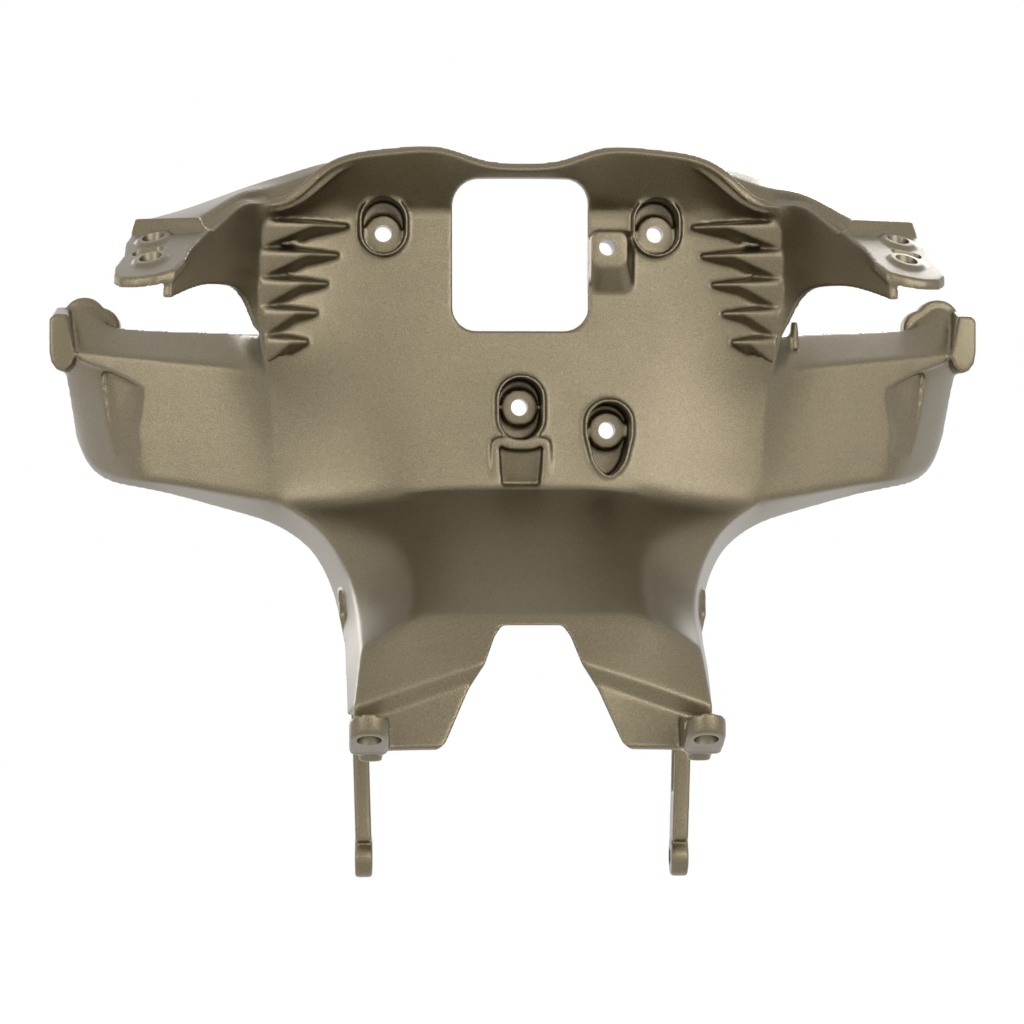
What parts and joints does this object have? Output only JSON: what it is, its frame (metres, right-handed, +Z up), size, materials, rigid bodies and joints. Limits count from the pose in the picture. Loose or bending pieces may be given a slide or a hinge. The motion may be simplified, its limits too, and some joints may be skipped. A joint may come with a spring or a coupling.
{
  "type": "motorcycle fairing stay",
  "caption": "Hollow cast bracket that carries a motorcycle's headlamp, instruments and fairing: dished back plate with window and ribs, two beams, two arms, sloping floor, two feet and two legs",
  "frame": {"origin": "on the plane of symmetry at the height of the middle of the picture, at the depth of the top of the back plate's front face", "axes": "+X to the right as the stay is seen from the front of the motorcycle, +Y to the rear, towards the frame it is bolted to, +Z up"},
  "size_m": [0.3806, 0.2084, 0.2894],
  "materials": {
    "bronze_paint": "satin bronze metallic paint over a fine cast grain"
  },
  "bodies": {
    "root": {"stay_casting": "bronze_paint"}
  },
  "joints": []
}
